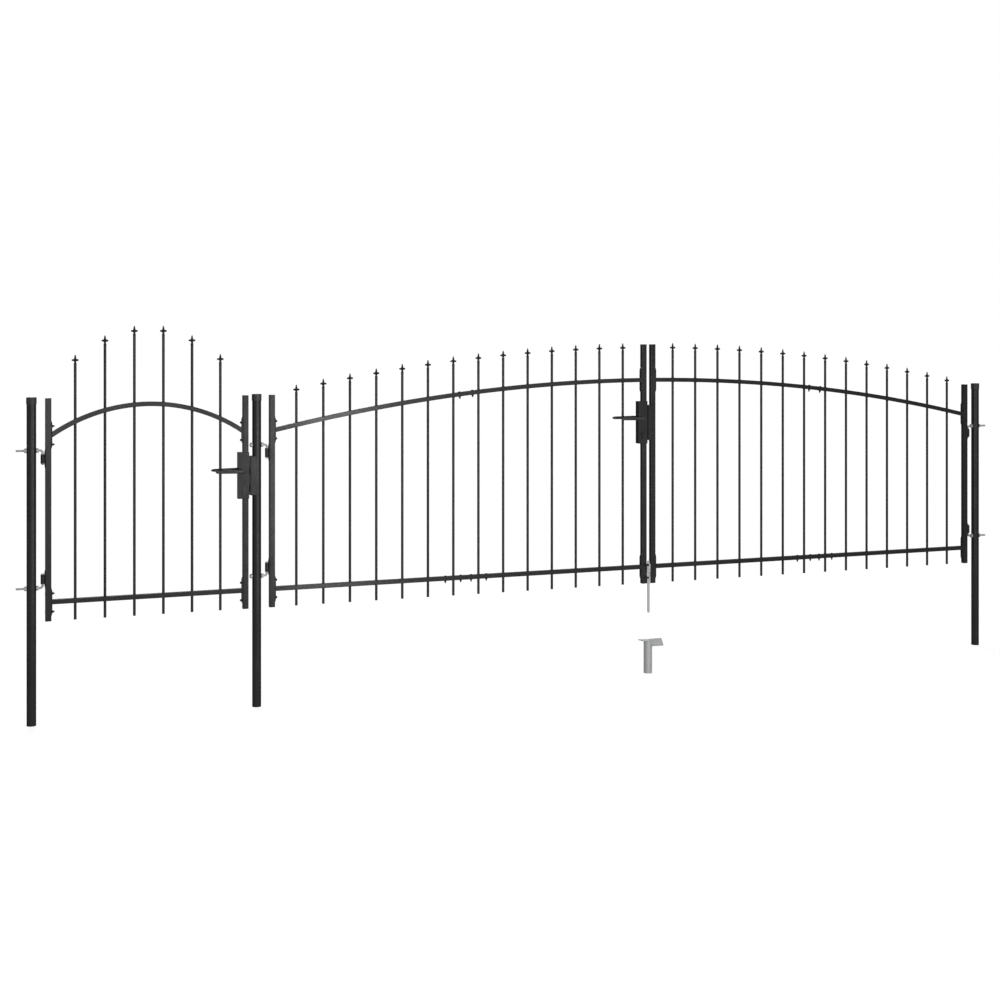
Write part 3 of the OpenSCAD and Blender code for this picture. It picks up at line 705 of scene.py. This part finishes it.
def upright(x, y, start, end, count):
    """Points up or down a line."""
    return [Vector((x, y, start + (end - start) * i / (count - 1))) for i in range(count)]


def barrel_welds(leaf, post_name):
    """Beads down both sides of a leaf's hinge barrels, where they meet their plates."""
    bm = bmesh.new()
    x = middle(post_name).x + hinge_side(post_name) * (HINGE_FROM_POST + BARREL_WELD["out"])
    radius = BARREL_WELD["radius"]
    for bolt, way in ((UPPER_BOLT_Z, -1), (LOWER_BOLT_Z, 1)):
        near = bolt + way * (BARREL_NEAR + radius)
        far = bolt + way * (BARREL_NEAR + BARREL_LENGTH - radius)
        for front in (-1, 1):
            line = upright(x, front * BARREL_WELD["front"], near, far, BARREL_WELD["steps"])
            bead(bm, line, radius, False, bolt + front, BARREL_WELD["sides"])
    make_piece(f"{leaf}_barrel_welds", bm, "black_coat", leaf, sharp=WELD_SHARP)


def keep_welds(node, body):
    """Beads down both flanges of a keep, where they meet what carries it."""
    lo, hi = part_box(node)
    bm = bmesh.new()
    radius = KEEP_WELD["radius"]
    inset = KEEP_WELD["inset"]
    for seed, y in enumerate((lo.y + radius, hi.y - radius)):
        line = upright(hi.x + KEEP_WELD["out"], y, lo.z + inset, hi.z - inset, KEEP_WELD["steps"])
        bead(bm, line, radius, False, seed, KEEP_WELD["sides"])
    make_piece(f"{node}_welds", bm, "black_coat", body, sharp=WELD_SHARP)


def stop_weld():
    """A bead round the ground stop's stem, under its flat wing."""
    bm = bmesh.new()
    line = []
    for i in range(STOP_WELD["steps"]):
        turned = STOP_WELD["turn_degrees"] * i / (STOP_WELD["steps"] - 1)
        a = math.radians(STOP_WELD["start_degrees"] + turned)
        x = DOUBLE_MID + STOP_RADIUS * math.cos(a)
        line.append(Vector((x, STOP_RADIUS * math.sin(a), STOP_HEIGHT)))
    bead(bm, line, STOP_WELD["radius"], False, STOP_WELD["seed"], STOP_WELD["sides"])
    make_piece("ground_stop_weld", bm, "zinc", "posts", sharp=WELD_SHARP)


# Lock face plates


def rounded_plate(x, low, high, half, corner):
    """Points round an upright plate's outline at one x, with round corners."""
    points = []
    for y, z, start in (
        (half - corner, high - corner, 0),
        (corner - half, high - corner, 1),
        (corner - half, low + corner, 2),
        (half - corner, low + corner, 3),
    ):
        for i in range(FOREND_CORNER_STEPS + 1):
            a = math.pi / 2 * (start + i / FOREND_CORNER_STEPS)
            points.append(Vector((x, y + corner * math.cos(a), z + corner * math.sin(a))))
    return points


def forend(leaf):
    """A lock's face plate round its latch and dead bolt, with two screws."""
    back = middle(LEAVES[leaf]["stiles"][1]).x + CASE_OUT
    front = back + FOREND_THICK
    lo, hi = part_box(f"{leaf}_lock_case")
    low = lo.z + FOREND_BELOW
    high = hi.z - FOREND_ABOVE
    bm = bmesh.new()
    rings = []
    for x, inset in ((back - FOREND_EDGE, 0), (front - FOREND_EDGE, 0), (front, FOREND_EDGE)):
        outline = rounded_plate(x, low + inset, high - inset, FOREND_HALF - inset, FOREND_CORNER - inset)
        rings.append([bm.verts.new(p) for p in outline])
    skin(bm, rings)
    for z in (low + SCREW_INSET, high - SCREW_INSET):
        lathe(bm, SCREW_PROFILE, pointing(Vector((front, 0, z)), X_AXIS))
    make_piece(f"{leaf}_lock_forend", bm, "zinc", leaf)


# Camera, light and floor


def place_camera():
    """The photograph's viewpoint, level, with the horizon above the middle of the frame."""
    data = bpy.data.cameras.new("camera")
    data.lens = CAMERA_LENS
    data.sensor_width = CAMERA_SENSOR
    data.shift_y = CAMERA_SHIFT_Y
    data.clip_end = CAMERA_REACH
    camera = bpy.data.objects.new("camera", data)
    camera.location = CAMERA_PLACE
    camera.rotation_euler = (math.pi / 2, 0, -CAMERA_TURN)
    bpy.context.scene.collection.objects.link(camera)
    bpy.context.scene.camera = camera


def seen_directly(tree):
    """1 for camera, glossy and transmission rays, from Light Path."""
    path = tree.nodes.new("ShaderNodeLightPath")
    first = tree.nodes.new("ShaderNodeMath")
    second = tree.nodes.new("ShaderNodeMath")
    for step, a, b in (
        (first, path.outputs["Is Camera Ray"], path.outputs["Is Glossy Ray"]),
        (second, first.outputs[0], path.outputs["Is Transmission Ray"]),
    ):
        step.operation = "MAXIMUM"
        tree.links.new(a, step.inputs[0])
        tree.links.new(b, step.inputs[1])
    return second.outputs[0]


def light_world(ambient):
    """Soft grey light all round, with a white background for what is seen or mirrored."""
    world = bpy.data.worlds.new("studio")
    world.use_nodes = True
    bpy.context.scene.world = world
    tree = world.node_tree
    soft = tree.nodes["Background"]
    soft.inputs["Color"].default_value = WHITE
    soft.inputs["Strength"].default_value = ambient
    white = tree.nodes.new("ShaderNodeBackground")
    white.inputs["Color"].default_value = WHITE
    white.inputs["Strength"].default_value = 1
    mixed = tree.nodes.new("ShaderNodeMixShader")
    tree.links.new(seen_directly(tree), mixed.inputs[0])
    tree.links.new(soft.outputs[0], mixed.inputs[1])
    tree.links.new(white.outputs[0], mixed.inputs[2])
    tree.links.new(mixed.outputs[0], tree.nodes["World Output"].inputs["Surface"])


def sun(name, azimuth, elevation, strength, softness):
    """A broad lamp from a direction; azimuth 0 shines along +Y and 90 from +X."""
    lamp = bpy.data.lights.new(name, "SUN")
    lamp.energy = strength
    lamp.angle = math.radians(softness)
    made = bpy.data.objects.new(name, lamp)
    a = math.radians(azimuth)
    e = math.radians(elevation)
    back = Vector((math.sin(a) * math.cos(e), -math.cos(a) * math.cos(e), math.sin(e)))
    made.rotation_mode = "QUATERNION"
    made.rotation_quaternion = (-back).to_track_quat("-Z", "Y")
    bpy.context.scene.collection.objects.link(made)


def strip(name, place, width, height, power):
    """An upright softbox that faces the gates."""
    lamp = bpy.data.lights.new(name, "AREA")
    lamp.shape = "RECTANGLE"
    lamp.size = width
    lamp.size_y = height
    lamp.energy = power
    made = bpy.data.objects.new(name, lamp)
    made.location = place
    aim = Vector((middle("left_leaf_outer_panel").x, 0, place.z)) - place
    made.rotation_mode = "QUATERNION"
    made.rotation_quaternion = aim.to_track_quat("-Z", "Y")
    made.visible_camera = False
    bpy.context.scene.collection.objects.link(made)


def floor_material(colour, lift):
    """Matt grey that glows where it is seen or mirrored, so that it shows white and keeps the shadow."""
    material = bpy.data.materials.new("pale_floor")
    material.use_nodes = True
    tree = material.node_tree
    tree.nodes.remove(tree.nodes["Principled BSDF"])
    matt = tree.nodes.new("ShaderNodeBsdfDiffuse")
    matt.inputs["Color"].default_value = (colour, colour, colour, 1)
    glow = tree.nodes.new("ShaderNodeEmission")
    scaled = tree.nodes.new("ShaderNodeMath")
    scaled.operation = "MULTIPLY"
    scaled.inputs[1].default_value = lift
    tree.links.new(seen_directly(tree), scaled.inputs[0])
    tree.links.new(scaled.outputs[0], glow.inputs["Strength"])
    both = tree.nodes.new("ShaderNodeAddShader")
    tree.links.new(matt.outputs[0], both.inputs[0])
    tree.links.new(glow.outputs[0], both.inputs[1])
    tree.links.new(both.outputs[0], tree.nodes["Material Output"].inputs["Surface"])
    return material


def lay_floor(half, colour, lift):
    """A wide pale floor just under the post feet."""
    bm = bmesh.new()
    centre = (cad_box[0] + cad_box[1]) / 2
    z = cad_box[0].z - FLOOR_GAP
    places = [half * (2 * i / FLOOR_STEPS - 1) for i in range(FLOOR_STEPS + 1)]
    grid = [[bm.verts.new((centre.x + x, y, z)) for x in places] for y in places]
    for near, far in zip(grid, grid[1:]):
        for i in range(FLOOR_STEPS):
            bm.faces.new((near[i], near[i + 1], far[i + 1], far[i]))
    mesh = bpy.data.meshes.new("floor")
    bm.to_mesh(mesh)
    bm.free()
    mesh.materials.append(floor_material(colour, lift))
    floor = bpy.data.objects.new("floor", mesh)
    bpy.context.scene.collection.objects.link(floor)


def finish_nodes():
    """Give every CAD node the finish of its record slot."""
    for entry in frame["record"]["subparts"]:
        mesh = nodes[entry["node"]].data
        mesh.materials.clear()
        mesh.materials.append(MATERIALS[entry["material_slot"]])


finish_nodes()
for leaf_name in LEAVES:
    bracket_bolts(leaf_name)
    bar_welds(leaf_name)
for leaf_name in ("left_leaf", "right_leaf"):
    splice_bolts(leaf_name)
for post_name in POSTS:
    post_hinge_bolts(post_name)
for leaf_name, post_name in zip(LEAVES, POSTS):
    barrel_welds(leaf_name, post_name)
keep_welds("single_gate_keep", "posts")
keep_welds("right_leaf_keep", "right_leaf")
stop_weld()
for leaf_name, body_name in (("single_gate", "single_lever"), ("left_leaf", "left_lever")):
    lever_grips(leaf_name, body_name)
    forend(leaf_name)

place_camera()
light_world(ambient=0.12)
sun("front", azimuth=2, elevation=7, strength=0.80, softness=12)
strip("streak", STREAK_PLACE, width=0.30, height=2.4, power=42)
strip("softbox", SOFTBOX_PLACE, width=6.0, height=2.2, power=50)
sun("top", azimuth=20, elevation=70, strength=0.6, softness=30)
sun("back", azimuth=175, elevation=28, strength=2.2, softness=20)
lay_floor(half=60, colour=0.25, lift=0.86)

scene = bpy.context.scene
scene.view_settings.view_transform = "Standard"
